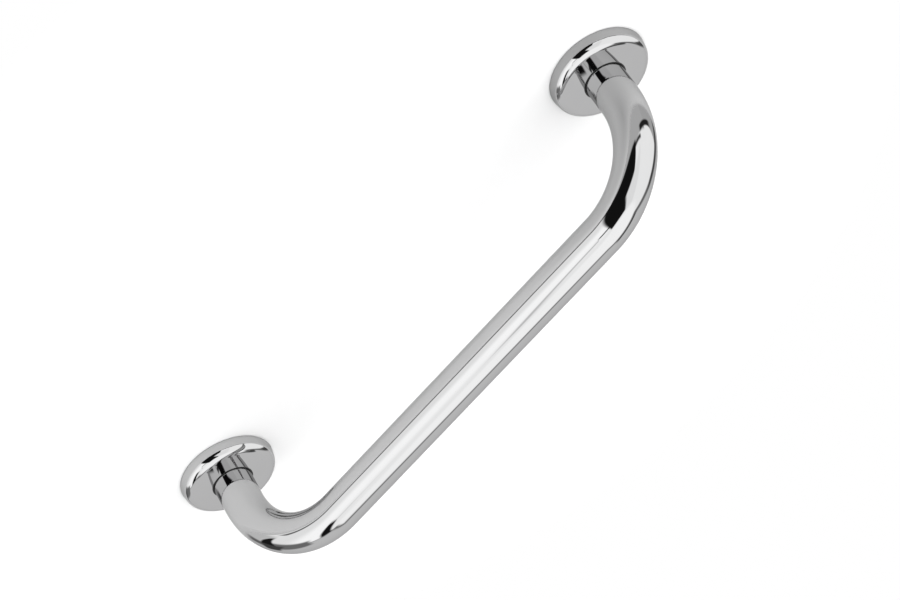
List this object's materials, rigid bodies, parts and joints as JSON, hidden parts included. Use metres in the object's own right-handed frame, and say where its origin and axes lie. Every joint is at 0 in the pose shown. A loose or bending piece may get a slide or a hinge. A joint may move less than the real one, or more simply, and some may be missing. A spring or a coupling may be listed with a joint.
{
  "type": "grab rail",
  "caption": "Bent round-tube grab rail on two screwed base plates, each hidden by a slip-on domed cover.",
  "frame": {"origin": "on the mounting surface, midway between the axes of the two legs", "axes": "+X along the bar towards the right leg, +Z out of the mounting surface towards the bar"},
  "size_m": [0.354, 0.054, 0.1084],
  "materials": {
    "tube_metal": "mirror polish",
    "cover_metal": "mirror polish",
    "bush_nylon": "moulded",
    "ring_rubber": "matt",
    "plate_steel": "machined",
    "gasket_rubber": "matt",
    "plug_steel": "turned",
    "screw_steel": "satin"
  },
  "bodies": {
    "rail": {"rail_tube": "tube_metal", "end_plug_left": "plug_steel", "end_plug_right": "plug_steel", "centre_screw_left": "screw_steel", "centre_screw_right": "screw_steel", "base_plate_left": "plate_steel", "base_plate_right": "plate_steel", "gasket_left": "gasket_rubber", "gasket_right": "gasket_rubber", "retaining_ring_left": "ring_rubber", "retaining_ring_right": "ring_rubber", "fixing_screw_left_1": "screw_steel", "fixing_screw_left_2": "screw_steel", "fixing_screw_left_3": "screw_steel", "fixing_screw_right_1": "screw_steel", "fixing_screw_right_2": "screw_steel", "fixing_screw_right_3": "screw_steel"},
    "left_bush": {"cover_bush_left": "bush_nylon"},
    "left_cover": {"cover_left": "cover_metal"},
    "right_bush": {"cover_bush_right": "bush_nylon"},
    "right_cover": {"cover_right": "cover_metal"}
  },
  "joints": [
    {"name": "left_cover_slide", "type": "slide", "parent": "rail", "child": "left_bush", "axis": [0, 0, 1], "range_m": [0, 0.0145]},
    {"name": "left_cover_turn", "type": "hinge", "parent": "left_bush", "child": "left_cover", "pos_m": [-0.15, 0, 0], "axis": [0, 0, 1], "continuous": true},
    {"name": "right_cover_slide", "type": "slide", "parent": "rail", "child": "right_bush", "axis": [0, 0, 1], "range_m": [0, 0.0145]},
    {"name": "right_cover_turn", "type": "hinge", "parent": "right_bush", "child": "right_cover", "pos_m": [0.15, 0, 0], "axis": [0, 0, 1], "continuous": true}
  ]
}
